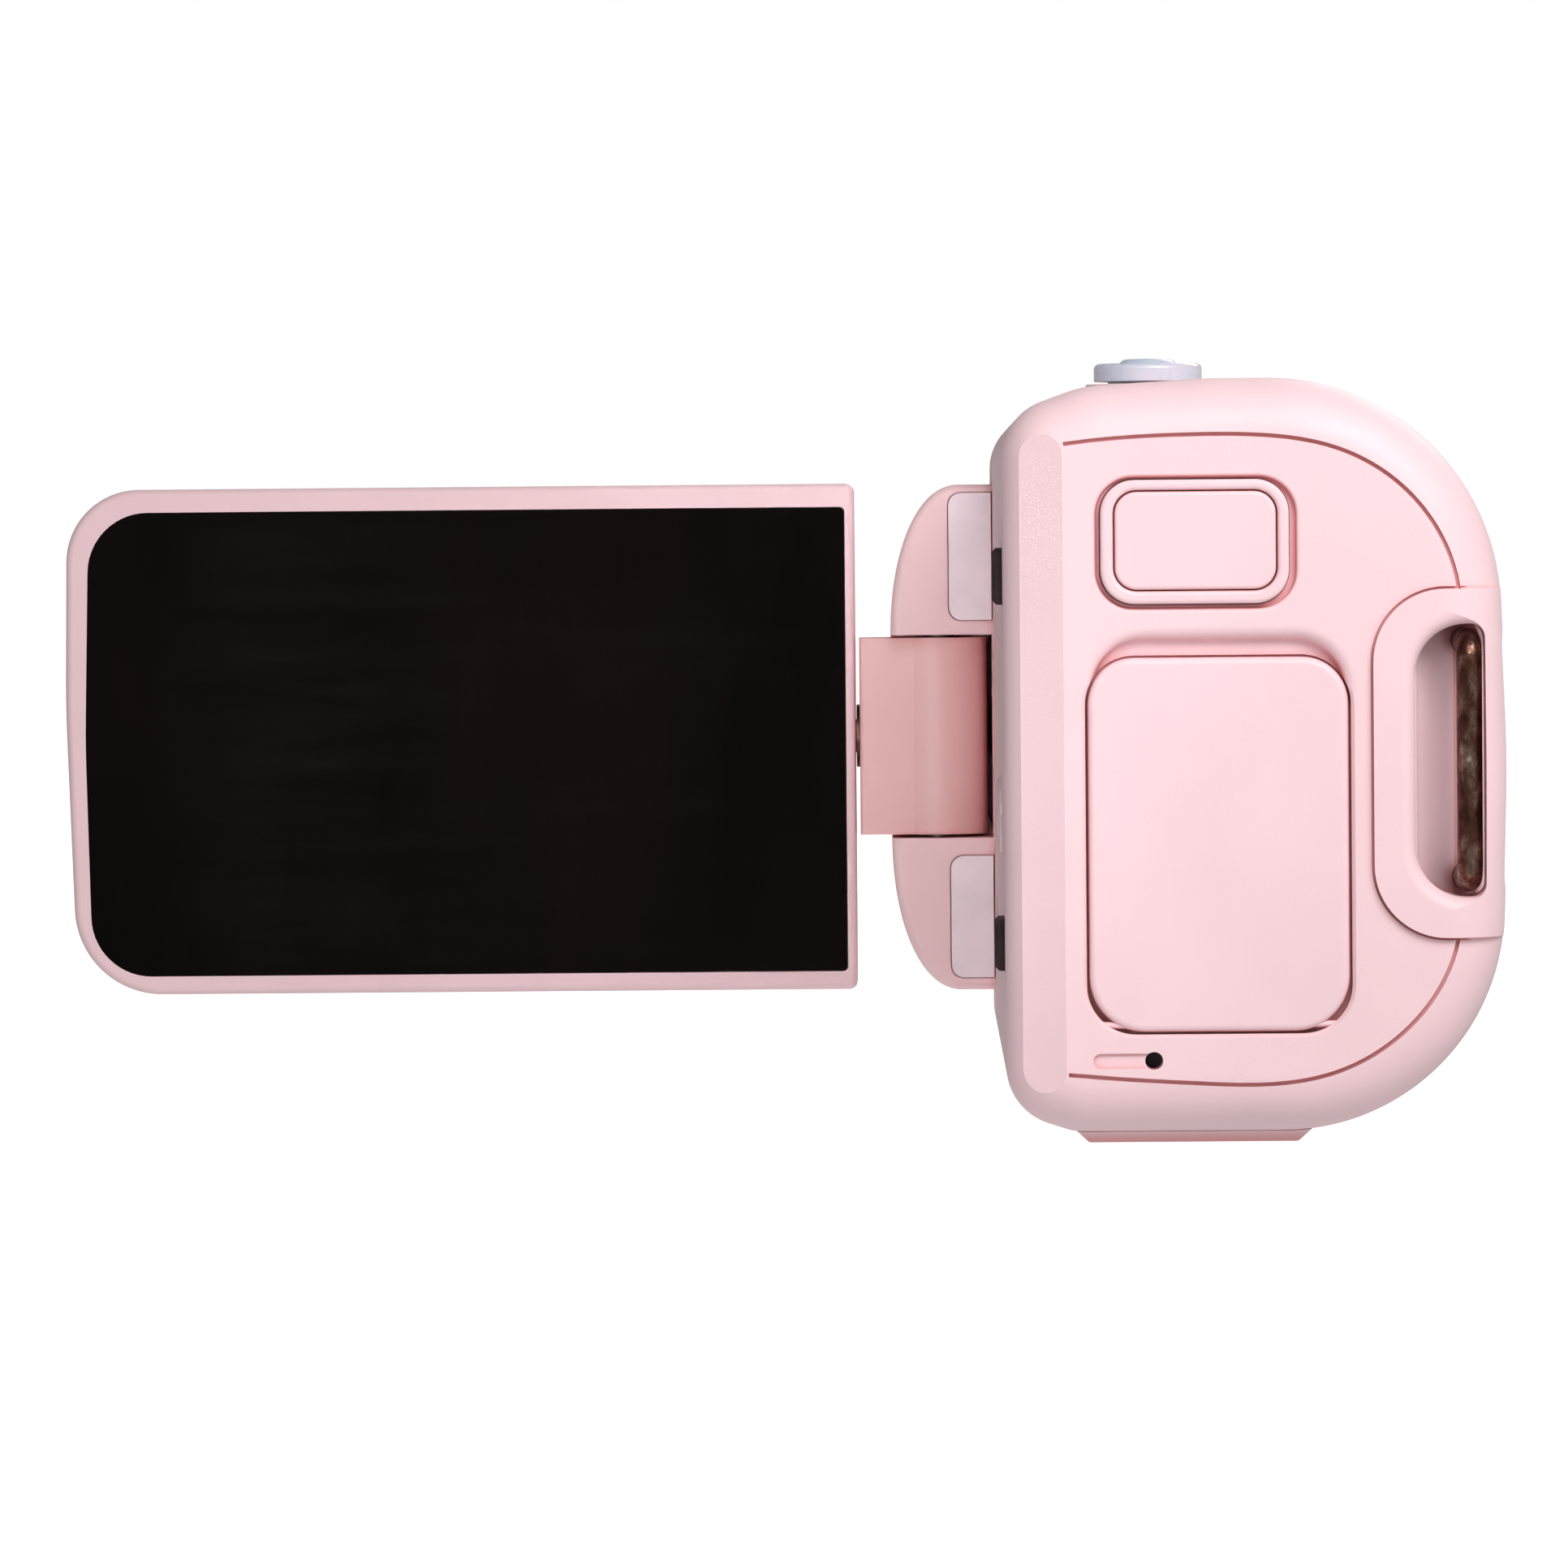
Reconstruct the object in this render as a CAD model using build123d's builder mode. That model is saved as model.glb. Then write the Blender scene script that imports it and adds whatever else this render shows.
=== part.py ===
from build123d import *
import os

# Hand-held camcorder with a swing-out, turning screen. Millimetres, +Z up, the lens looks along +Y.
# Origin: on the tripod thread's axis, at the underside of the base plate. The heights below are drawn with
# that underside at -FOOT, and every piece is raised by FOOT when it is exported.

# Stations along the length
REAR_Y = -60.0
COVER_Y = -42.0
HOUSING_Y = 21.6
FRONT_Y = 46.0
BARREL_Y = 57.0

# Body section
BODY_LEFT = -16.5
BODY_CORNERS = [
    (BODY_LEFT, 2.2), (-10.6, 0.3), (25.9, 0.3), (26.8, 32.0),
    (25.5, 65.0), (1.0, 65.0), (-9.5, 64.4), (BODY_LEFT, 61.9),
]
BODY_RADII = [5.2, 6.0, 19.0, 80.0, 20.0, 30.0, 10.0, 5.2]
FOOT = 0.65
WALL = 1.8
SEAM = 0.15
GAP = 0.2
REAR_ROUND = 5.0
REAR_WALL = 3.2
THROUGH_REAR = REAR_WALL + 1.0
SIDE_SEAM_X = 9.0

# Screen hinge: upright swing pin, and a tilt shaft across it
SWING_X = -21.8
HINGE_Y = 28.1
TILT_Z = 32.6
ARM_HALF = 4.1
ARM_END = -29.3
PIN_R = 1.6
RUNNING = 0.05

# Ears that carry the hinge, and the pads on their rear faces
EAR_RIGHT = -12.0
EAR_LEFT = -26.3
EAR_LOW_Z = 8.4
EAR_HIGH_Z = 56.6
PAD_SPANS = ((9.6, 21.2), (43.7, 55.8))
PAD_LEFT = -20.7
PAD_R = 1.2
PAD_FRONT_Y = 22.3
ARM_LOW_Z = 23.2
ARM_HIGH_Z = 42.0

# Screen
SCREEN_RIGHT = -29.7
SCREEN_Y = HINGE_Y - ARM_HALF
SCREEN_BACK_Y = HINGE_Y + ARM_HALF
SCREEN_LEFT = -105.7
SCREEN_LOW_Z = 8.4
SCREEN_HIGH_Z = 56.8
SCREEN_CORNERS = [
    (SCREEN_RIGHT, SCREEN_LOW_Z), (SCREEN_RIGHT, SCREEN_HIGH_Z), (-105.1, SCREEN_HIGH_Z),
    (-105.4, 36.0), (-104.5, SCREEN_LOW_Z),
]
SCREEN_RADII = [0.8, 0.8, 7.0, 120.0, 8.4]
GLASS_CORNERS = [(-30.6, 10.15), (-30.6, 54.6), (-103.0, 54.6), (-103.5, 32.5), (-103.0, 10.15)]
GLASS_RADII = [0.5, 0.5, 5.8, 120.0, 5.8]
SCREEN_SCREWS = [(x, z) for x in (-98.0, -36.5) for z in (21.5, 43.5)]

# Battery door and its hinge
DOOR_LOW = (-9.4, 9.1)
DOOR_HIGH = (12.9, 41.1)
DOOR_CORNERS = [DOOR_LOW, (DOOR_HIGH[0], DOOR_LOW[1]), DOOR_HIGH, (DOOR_LOW[0], DOOR_HIGH[1])]
DOOR_R = 4.0
DOOR_RADII = [4.8, 4.8, DOOR_R, DOOR_R]
DOOR_THICK = 1.8
DOOR_ROUND = 0.6
DOOR_RIM = 0.3
DOOR_PIN_Y = REAR_Y + DOOR_ROUND
DOOR_PIN_Z = DOOR_LOW[1] + DOOR_ROUND
DOOR_PIN_R = 0.3

# Record key
KEY_LOW = (-7.0, 46.9)
KEY_HIGH = (6.8, 55.3)
KEY_R = 1.9
RING_LOW = (-8.2, 45.7)
RING_HIGH = (7.9, 56.3)
RING_R = 2.9
RING_DEPTH = 1.8
RING_PROUD = 0.55
KEY_GAP = 0.1

# Decorative groove
UPPER_GROOVE = [
    (-11.3, 59.4), (-6.5, 59.9), (0.0, 60.15), (6.3, 60.0),
    (12.3, 58.8), (16.9, 56.2), (20.4, 52.2), (22.4, 46.4),
]
LOWER_GROOVE = [
    (-11.2, 5.5), (-6.5, 5.1), (0.0, 4.7), (6.3, 4.6),
    (12.3, 5.8), (16.9, 8.5), (20.4, 12.5), (22.3, 17.8),
]

# Strap eye
EYE_CORNERS = [(15.0, 17.0), (28.0, 17.0), (28.0, 46.8), (15.0, 46.8)]
EYE_RADII = [6.2, 0.0, 0.0, 6.2]
EYE_REAR_Y = REAR_Y - 0.6
EYE_FRONT_Y = -48.6
SLOT_CORNERS = [(18.6, 20.4), (24.6, 20.4), (24.6, 43.8), (18.6, 43.8)]
SLOT_RADII = [4.4, 1.2, 1.2, 4.4]
BAR_R = 1.1
BAR_X = 23.3
BAR_Y = -58.2
BAR_LOW_Z = 21.9
BAR_HIGH_Z = 42.3

# Zoom lever and shutter button on the top
ZOOM_AT = (-2.9, -22.0)
ZOOM_R = 4.85

# Lens
LENS_Z = 33.0
LENS_AXIS = Axis((0, 0, LENS_Z), (0, 1, 0))
BARREL_R = 22.0

# Tripod insert for a 1/4 inch thread
THREAD_R = 2.6
INSERT_R = 4.2
INSERT_LENGTH = 6.8
THREAD_DEPTH = 6.0

# Screws up through the base plate, one row along the middle
SCREW_STATIONS = (-48.0, -36.0, 14.0, 26.0)
SCREW_R = 0.8
SCREW_HOLE_R = 0.9
SCREW_HEAD_R = 1.7
SCREW_HEAD_Z = 0.1 - FOOT
SCREW_HEAD_THICK = 0.35

# Openings in the left wall, drawn Y along the length and Z up
WALL_OUTSIDE_X = BODY_LEFT - 1.0
WALL_CUT = 4.0
POWER_KEY = (-34.0, 27.0, 3.4)
MODE_KEY = (-24.0, 27.0, 2.6)
PLAY_KEY = (-15.0, 27.0, 2.6)
KEY_PROUD = 0.2
KEY_INNER_X = -13.5
KEY_RUNNING = 0.25
SPEAKER_AT = (-29.0, 47.0)
USB = ((-0.6, 16.3), (8.6, 19.7), 1.6)
HDMI = ((0.6, 25.4), (7.4, 28.6), 0.5)
CARD_MOUTH = ((-4.2, 44.2), (8.2, 45.9), 0.6)
BUMPER_SPANS = ((14.1, 18.6), (45.7, 50.6))


def across(y):
    """Plane square to the length at y, drawn X right and Z up. Positive extrusions run to the rear."""
    return Plane.XZ.offset(-y)


def moved_in(corners, inset):
    """Corners of the same polygon with every side moved inward. They run anticlockwise."""
    moved = []
    for before, here, after in zip(corners[-1:] + corners[:-1], corners, corners[1:] + corners[:1]):
        arriving = (Vector(*here) - Vector(*before)).normalized().rotate(Axis.Z, 90)
        leaving = (Vector(*after) - Vector(*here)).normalized().rotate(Axis.Z, 90)
        moved.append(Vector(*here) + (arriving + leaving) * (inset / (1 + arriving.dot(leaving))))
    return moved


def outline(plane, corners, radii, inset=0.0):
    """Closed outline with one radius for each corner, drawn in by inset."""
    with BuildSketch(plane) as shape:
        with BuildLine():
            rounds = [max(r - inset, 0.5) if r else 0 for r in radii]
            FilletPolyline(*moved_in(corners, inset), radius=rounds, close=True)
        make_face()
    return shape.sketch


def body_section(y, inset=0.0):
    """Section of the whole body, drawn in from its outer surface by inset."""
    return outline(across(y), BODY_CORNERS, BODY_RADII, inset)


def panel(plane, low, high, radius, grow=0.0):
    """Rounded rectangle between two corners, grown on all sides."""
    with BuildSketch(plane) as shape:
        with Locations(((low[0] + high[0]) / 2, (low[1] + high[1]) / 2)):
            RectangleRounded(high[0] - low[0] + 2 * grow, high[1] - low[1] + 2 * grow, radius + grow)
    return shape.sketch


def block(low, high, mode=Mode.ADD):
    """Box between two corners, joined to or cut from the active part."""
    centre = [(a + b) / 2 for a, b in zip(low, high)]
    with Locations(Vector(*centre)):
        Box(*[b - a for a, b in zip(low, high)], mode=mode)


def rod(plane, at, radius, length, mode=Mode.ADD):
    """Cylinder from a plane, joined to or cut from the active part."""
    with BuildSketch(plane) as disc:
        with Locations(at):
            Circle(radius)
    extrude(disc.sketch, amount=length, mode=mode)


def turned(profile, mode=Mode.ADD):
    """Solid turned about the lens axis from (y, radius) points."""
    with BuildSketch(Plane.YZ) as half:
        with BuildLine():
            Polyline(*[(y, LENS_Z + r) for y, r in profile], close=True)
        make_face()
    revolve(half.sketch, axis=LENS_AXIS, mode=mode)


def pocket(shape, depth, mouth, floor, rear_y=REAR_Y):
    """Cutter for a pocket in a rear face, with its mouth and its floor rounded."""
    low, high = (-30.0, rear_y, -10.0), (40.0, rear_y + depth + 2.0, 80.0)
    with BuildPart() as plate:
        block(low, high)
        extrude(shape, amount=-depth, mode=Mode.SUBTRACT)
        fillet(plate.faces().sort_by(Axis.Y)[0].inner_wires()[0].edges(), radius=mouth)
        fillet(plate.faces().filter_by(Axis.Y).sort_by(Axis.Y)[1].edges(), radius=floor)
    with BuildPart() as cutter:
        block(low, high)
        add(plate.part, mode=Mode.SUBTRACT)
    return cutter.part


def rear_edges(part):
    """Edges round the rearmost face."""
    return part.faces().sort_by(Axis.Y)[0].edges()


def front_edges(part):
    """Edges round the foremost face."""
    return part.faces().sort_by(Axis.Y)[-1].edges()


# ---- Rear cover ----

# Slightly larger body end, from which the strap eye's raised pad is cut
with BuildPart() as eye_envelope:
    extrude(body_section(EYE_FRONT_Y), amount=EYE_FRONT_Y - EYE_REAR_Y)
    fillet(rear_edges(eye_envelope), radius=REAR_ROUND)

with BuildPart() as eye_pad:
    extrude(outline(across(EYE_FRONT_Y), EYE_CORNERS, EYE_RADII), amount=EYE_FRONT_Y - EYE_REAR_Y)
    add(eye_envelope.part, mode=Mode.INTERSECT)

# Room for the strap: in at the rear, round the bar and out at the side
with BuildPart() as strap_space:
    extrude(outline(across(-50.6), SLOT_CORNERS, SLOT_RADII), amount=11.0)
    with BuildSketch(Plane.XY):
        with BuildLine():
            Polyline((18.6, -59.2), (18.6, -62.0), (26.0, -62.0), (26.0, -50.6), (23.6, -50.6))
            ThreePointArc((23.6, -50.6), (20.2, -54.0), (18.6, -59.2))
        make_face()
    extrude(amount=60.0, mode=Mode.INTERSECT)
    extrude(panel(Plane.YZ.offset(22.4), (-57.0, 20.6), (-50.7, 43.6), 2.0), amount=6.0)

with BuildPart() as rear_cover:
    extrude(body_section(COVER_Y), amount=COVER_Y - REAR_Y)
    fillet(rear_edges(rear_cover), radius=REAR_ROUND)
    # Shallow facet down the left rear edge
    with BuildSketch(Plane.XY):
        with BuildLine():
            Polyline((-11.4, -60.0), (-18.0, -57.3), (-18.0, -62.0), (-11.4, -62.0), close=True)
        make_face()
    extrude(amount=70.0, mode=Mode.SUBTRACT)
    # Hollow, in two steps that follow the rounded rear edge
    extrude(body_section(COVER_Y, WALL), amount=13.2, mode=Mode.SUBTRACT)
    extrude(body_section(COVER_Y, 4.0), amount=COVER_Y - REAR_Y - REAR_WALL, mode=Mode.SUBTRACT)
    # D-shaped groove in two runs that end at the strap eye
    for run in (UPPER_GROOVE, LOWER_GROOVE):
        with BuildSketch(across(REAR_Y)):
            with BuildLine():
                Spline(*run)
            trace(line_width=0.36)
        extrude(amount=-0.6, mode=Mode.SUBTRACT)
    # Fine groove round the strap eye's pad, the pad, and the slot with its rounded mouth
    extrude(outline(across(REAR_Y), EYE_CORNERS, EYE_RADII, -0.22), amount=-0.4, mode=Mode.SUBTRACT)
    add(eye_pad.part)
    mouth = outline(across(EYE_REAR_Y), SLOT_CORNERS, SLOT_RADII)
    add(pocket(mouth, 3.0, 1.3, 0.3, EYE_REAR_Y), mode=Mode.SUBTRACT)
    add(strap_space.part, mode=Mode.SUBTRACT)
    for leg_z in (BAR_LOW_Z, BAR_HIGH_Z):
        rod(across(-54.0), (BAR_X, leg_z), BAR_R + 0.03, -4.7, mode=Mode.SUBTRACT)
    # Battery door recess with its ledge, and the way into the battery bay
    recess = panel(across(REAR_Y), DOOR_LOW, DOOR_HIGH, DOOR_R, GAP)
    extrude(recess, amount=-DOOR_THICK - GAP, mode=Mode.SUBTRACT)
    rim = panel(across(REAR_Y), DOOR_LOW, DOOR_HIGH, DOOR_R, GAP + DOOR_RIM)
    extrude(rim, amount=-DOOR_RIM, taper=45, mode=Mode.SUBTRACT)
    battery_way = panel(across(REAR_Y), (-7.0, 12.6), (10.6, 38.3), 2.0)
    extrude(battery_way, amount=-THROUGH_REAR, mode=Mode.SUBTRACT)
    rod(Plane.YZ.offset(-9.2), (DOOR_PIN_Y, DOOR_PIN_Z), DOOR_PIN_R + 0.02, 21.9, mode=Mode.SUBTRACT)
    # Finger scoop that runs down to the door's top edge
    scoop = panel(across(REAR_Y), (-8.9, 33.2), (12.5, 42.7), 4.3)
    add(pocket(scoop, 1.6, 1.1, 0.45), mode=Mode.SUBTRACT)
    # Moat round the record ring, then the ring's seat and the key's opening
    moat = panel(across(REAR_Y), (-8.6, 45.3), (8.5, 56.5), 3.2)
    add(pocket(moat, 0.8, 0.35, 0.1), mode=Mode.SUBTRACT)
    ring_seat = panel(across(REAR_Y), RING_LOW, RING_HIGH, RING_R, KEY_GAP)
    extrude(ring_seat, amount=-RING_DEPTH - 0.1, mode=Mode.SUBTRACT)
    key_way = panel(across(REAR_Y), KEY_LOW, KEY_HIGH, KEY_R, KEY_GAP)
    extrude(key_way, amount=-THROUGH_REAR, mode=Mode.SUBTRACT)
    # Obround groove and the microphone hole at its end
    with BuildSketch(across(REAR_Y)):
        with Locations((-6.4, 6.65)):
            SlotOverall(5.4, 1.3)
    extrude(amount=-0.35, mode=Mode.SUBTRACT)
    rod(across(REAR_Y), (-3.9, 6.65), 0.77, -REAR_WALL - 2.0, mode=Mode.SUBTRACT)
    # Seats for the two rubber bumpers on the left wall
    for low_z, high_z in BUMPER_SPANS:
        low, high = (WALL_OUTSIDE_X, -53.2, low_z - 0.1), (BODY_LEFT + 0.6, -46.8, high_z + 0.1)
        block(low, high, mode=Mode.SUBTRACT)
    rod(Plane.XY, (0, SCREW_STATIONS[0]), SCREW_HOLE_R, 5.0, mode=Mode.SUBTRACT)

with BuildPart() as rear_bumpers:
    for low_z, high_z in BUMPER_SPANS:
        block((BODY_LEFT - 0.85, -53.1, low_z), (BODY_LEFT + 0.6, -46.9, high_z))
    chamfer(rear_bumpers.faces().filter_by(Axis.X).group_by(Axis.X)[0].edges(), length=0.35)

with BuildPart() as strap_bar:
    with BuildLine() as bar_path:
        FilletPolyline(
            (BAR_X, -49.5, BAR_LOW_Z), (BAR_X, BAR_Y, BAR_LOW_Z),
            (BAR_X, BAR_Y, BAR_HIGH_Z), (BAR_X, -49.5, BAR_HIGH_Z),
            radius=1.6,
        )
    with BuildSketch(across(-49.5)):
        with Locations((BAR_X, BAR_LOW_Z)):
            Circle(BAR_R)
    sweep(path=bar_path.wire())

# ---- Battery door, battery and tray ----

# The rounded lower edge is concentric with the hinge pin, and the wider lower corners clear the recess
with BuildPart() as battery_door:
    extrude(outline(across(REAR_Y), DOOR_CORNERS, DOOR_RADII), amount=-DOOR_THICK)
    fillet(rear_edges(battery_door), radius=DOOR_ROUND)
    chamfer(front_edges(battery_door), length=0.5)
    rod(Plane.YZ.offset(-12.0), (DOOR_PIN_Y, DOOR_PIN_Z), DOOR_PIN_R + RUNNING, 30.0, mode=Mode.SUBTRACT)

with BuildPart() as door_pin:
    rod(Plane.YZ.offset(-9.1), (DOOR_PIN_Y, DOOR_PIN_Z), DOOR_PIN_R, 21.7)

with BuildPart() as battery_tray:
    block((-8.0, -56.6, 11.6), (11.5, -14.0, 39.2))
    block((-7.0, -58.0, 12.6), (10.5, -15.0, 38.2), mode=Mode.SUBTRACT)

with BuildPart() as battery:
    block((-6.6, -56.4, 13.0), (10.1, -17.0, 37.8))
    fillet(battery.edges().filter_by(Axis.Y), radius=1.5)

with BuildPart() as battery_contacts:
    for contact_z in (20.0, 25.4, 30.8):
        block((0.4, -16.8, contact_z - 0.8), (3.0, -15.0, contact_z + 0.8))

# ---- Record key ----

with BuildPart() as record_ring:
    ring_front = across(REAR_Y + RING_DEPTH)
    extrude(panel(ring_front, RING_LOW, RING_HIGH, RING_R), amount=RING_DEPTH + RING_PROUD)
    key_way = panel(ring_front, KEY_LOW, KEY_HIGH, KEY_R, KEY_GAP)
    extrude(key_way, amount=RING_DEPTH + RING_PROUD, mode=Mode.SUBTRACT)
    fillet(rear_edges(record_ring), radius=0.38)

with BuildPart() as record_key:
    extrude(panel(across(-57.4), KEY_LOW, KEY_HIGH, KEY_R), amount=3.1)
    fillet(rear_edges(record_key), radius=0.35)

with BuildPart() as record_dome:
    extrude(panel(across(-54.6), (-4.0, 49.1), (3.8, 53.1), 1.5), amount=1.8)

with BuildPart() as rear_board:
    block((-11.6, -54.6, 44.0), (11.0, -53.4, 58.6))

with BuildPart() as rear_microphone:
    rod(across(-56.7), (-3.9, 6.65), 1.6, -2.2)

# ---- Shells between rear cover and front housing ----

with BuildPart() as left_shell:
    extrude(body_section(HOUSING_Y - SEAM), amount=HOUSING_Y - COVER_Y - 2 * SEAM)
    extrude(body_section(HOUSING_Y, WALL), amount=70.0, mode=Mode.SUBTRACT)
    split(bisect_by=Plane.YZ.offset(SIDE_SEAM_X - SEAM / 2), keep=Keep.BOTTOM)
    # Turret for the zoom lever
    with BuildSketch(Plane.XY.offset(63.2)):
        with Locations(ZOOM_AT):
            Circle(6.1)
    extrude(amount=1.95, taper=16)
    rod(Plane.XY.offset(60.0), ZOOM_AT, 3.95, 8.0, mode=Mode.SUBTRACT)
    # Boss round the tripod insert
    rod(Plane.XY.offset(1.5), (0, 0), 6.6, 4.9)
    rod(Plane.XY, (0, 0), INSERT_R + 0.02, 8.0, mode=Mode.SUBTRACT)
    # Speaker grille: rings of small holes
    with BuildSketch(Plane.YZ.offset(WALL_OUTSIDE_X)):
        with Locations(SPEAKER_AT):
            Circle(0.6)
            with PolarLocations(2.3, 6):
                Circle(0.6)
            with PolarLocations(4.6, 12):
                Circle(0.6)
    extrude(amount=WALL_CUT, mode=Mode.SUBTRACT)
    # Openings for the keys, ports and memory card
    for key_y, key_z, radius in (POWER_KEY, MODE_KEY, PLAY_KEY):
        wide = radius + KEY_RUNNING
        rod(Plane.YZ.offset(WALL_OUTSIDE_X), (key_y, key_z), wide, WALL_CUT, mode=Mode.SUBTRACT)
    for low, high, radius in (USB, HDMI, CARD_MOUTH):
        mouth = panel(Plane.YZ.offset(WALL_OUTSIDE_X), low, high, radius, RUNNING)
        extrude(mouth, amount=WALL_CUT, mode=Mode.SUBTRACT)
    for screw_y in SCREW_STATIONS[1:3]:
        rod(Plane.XY, (0, screw_y), SCREW_HOLE_R, 5.0, mode=Mode.SUBTRACT)

with BuildPart() as right_shell:
    extrude(body_section(HOUSING_Y - SEAM), amount=HOUSING_Y - COVER_Y - 2 * SEAM)
    extrude(body_section(HOUSING_Y, WALL), amount=70.0, mode=Mode.SUBTRACT)
    split(bisect_by=Plane.YZ.offset(SIDE_SEAM_X + SEAM / 2), keep=Keep.TOP)
    # Front strap anchor: a sunk pocket with a bar across it
    block((20.0, 3.4, 19.4), (25.4, 18.6, 43.6))
    extrude(panel(Plane.YZ.offset(21.4), (5.0, 21.0), (17.0, 42.0), 3.0), amount=8.0, mode=Mode.SUBTRACT)
    rod(Plane.XY.offset(20.0), (25.0, 11.0), BAR_R + 0.02, 23.0, mode=Mode.SUBTRACT)

with BuildPart() as front_strap_bar:
    rod(Plane.XY.offset(20.1), (25.0, 11.0), BAR_R, 22.8)

# ---- Front housing with the two ears of the screen hinge ----

# Outline of both ears: a straight left side that curves over into the upper and lower edges
with BuildSketch(across(HOUSING_Y)) as ear_outline:
    with BuildLine():
        Line((EAR_RIGHT, EAR_LOW_Z), (-19.8, EAR_LOW_Z))
        Bezier((-19.8, EAR_LOW_Z), (-23.6, EAR_LOW_Z), (EAR_LEFT, 14.6), (EAR_LEFT, 23.0))
        Line((EAR_LEFT, 23.0), (EAR_LEFT, 42.2))
        Bezier((EAR_LEFT, 42.2), (EAR_LEFT, 50.4), (-23.6, EAR_HIGH_Z), (-19.8, EAR_HIGH_Z))
        Line((-19.8, EAR_HIGH_Z), (EAR_RIGHT, EAR_HIGH_Z))
        Line((EAR_RIGHT, EAR_HIGH_Z), (EAR_RIGHT, EAR_LOW_Z))
    make_face()

with BuildPart() as ear_block:
    extrude(ear_outline.sketch, amount=HOUSING_Y - FRONT_Y)
    fillet(front_edges(ear_block).sort_by(Axis.X)[:-1], radius=3.0)
    fillet(rear_edges(ear_block).sort_by(Axis.X)[:-1], radius=0.9)

with BuildPart() as front_housing:
    extrude(body_section(HOUSING_Y), amount=HOUSING_Y - FRONT_Y)
    fillet(front_edges(front_housing), radius=3.5)
    add(ear_block.part)
    extrude(body_section(HOUSING_Y, WALL), amount=HOUSING_Y - FRONT_Y + 2.4, mode=Mode.SUBTRACT)
    block((-15.0, 20.0, 9.0), (-11.0, 34.0, 56.0), mode=Mode.SUBTRACT)
    # Slot in which the hinge arm swings
    block((-28.0, 20.0, 22.9), (BODY_LEFT - 0.1, HINGE_Y + 5.0, 42.3), mode=Mode.SUBTRACT)
    rod(Plane.XY.offset(19.0), (SWING_X, HINGE_Y), PIN_R + 0.02, 27.0, mode=Mode.SUBTRACT)
    # Opening for the lens barrel
    rod(across(50.0), (0, LENS_Z), 19.0, 20.0, mode=Mode.SUBTRACT)
    for low_z, high_z in PAD_SPANS:
        corners = [(PAD_LEFT, low_z), (BODY_LEFT, low_z), (BODY_LEFT, high_z), (PAD_LEFT, high_z)]
        seat = outline(across(PAD_FRONT_Y), corners, [PAD_R, 0.0, 0.0, PAD_R], -0.1)
        extrude(seat, amount=3.0, mode=Mode.SUBTRACT)
    for hole_x in (-2.2, 0.0, 2.2):
        rod(Plane.XY.offset(58.0), (hole_x, 34.0), 0.5, 10.0, mode=Mode.SUBTRACT)
    rod(Plane.XY, (0, SCREW_STATIONS[3]), SCREW_HOLE_R, 5.0, mode=Mode.SUBTRACT)

with BuildPart() as ear_pads:
    for low_z, high_z in PAD_SPANS:
        block((PAD_LEFT, PAD_FRONT_Y - 1.0, low_z), (BODY_LEFT - SEAM, PAD_FRONT_Y, high_z))
    fillet(ear_pads.edges().filter_by(Axis.Y).group_by(Axis.X)[0], radius=PAD_R)

with BuildPart() as front_microphones:
    rod(Plane.XY.offset(60.6), (0, 34.0), 3.4, 2.1)

with BuildPart() as base_plate:
    with BuildSketch(across(30.0)):
        with BuildLine():
            FilletPolyline(
                (-9.4, -FOOT), (8.6, -FOOT), (10.2, 0.9), (-11.0, 0.9),
                radius=(0.5, 0.5, 0, 0), close=True,
            )
        make_face()
    extrude(amount=86.0)
    # Sloping ends
    corners = [(-55.0, -FOOT), (29.0, -FOOT), (30.0, 0.9), (-56.0, 0.9)]
    ends = outline(Plane.YZ.offset(-20.0), corners, [0, 0, 0, 0])
    extrude(ends, amount=40.0, mode=Mode.INTERSECT)
    extrude(body_section(40.0), amount=110.0, mode=Mode.SUBTRACT)
    rod(Plane.XY.offset(-1.0), (0, 0), INSERT_R + 0.02, 9.0, mode=Mode.SUBTRACT)
    for screw_y in SCREW_STATIONS:
        recess_depth = SCREW_HEAD_Z + SCREW_HEAD_THICK + 1.05
        rod(Plane.XY.offset(-1.0), (0, screw_y), SCREW_HEAD_R + 0.1, recess_depth, mode=Mode.SUBTRACT)
        rod(Plane.XY.offset(-1.0), (0, screw_y), SCREW_HOLE_R, 5.0, mode=Mode.SUBTRACT)

with BuildPart() as base_screws:
    for screw_y in SCREW_STATIONS:
        rod(Plane.XY.offset(SCREW_HEAD_Z), (0, screw_y), SCREW_HEAD_R, SCREW_HEAD_THICK)
        rod(Plane.XY.offset(SCREW_HEAD_Z), (0, screw_y), SCREW_R, 3.4)
        rod(Plane.XY.offset(SCREW_HEAD_Z), (0, screw_y), 0.6, 0.25, mode=Mode.SUBTRACT)

with BuildPart() as tripod_insert:
    rod(Plane.XY.offset(0.2 - FOOT), (0, 0), INSERT_R, INSERT_LENGTH)
    rod(Plane.XY.offset(0.2 - FOOT), (0, 0), THREAD_R, THREAD_DEPTH, mode=Mode.SUBTRACT)

# ---- Lens ----

with BuildPart() as lens_barrel:
    turned([
        (42.6, 16.8), (42.6, 18.8), (FRONT_Y, 18.8), (FRONT_Y, BARREL_R),
        (BARREL_Y, BARREL_R), (BARREL_Y, 19.8), (47.2, 19.8), (47.2, 16.8),
    ])
    fillet(lens_barrel.edges().filter_by(GeomType.CIRCLE).sort_by(Axis.Y)[-1], radius=0.5)

with BuildPart() as front_ring:
    turned([(BARREL_Y + 0.05, 19.2), (BARREL_Y + 0.05, 21.2), (58.4, 20.7), (58.4, 18.9)])

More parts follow.
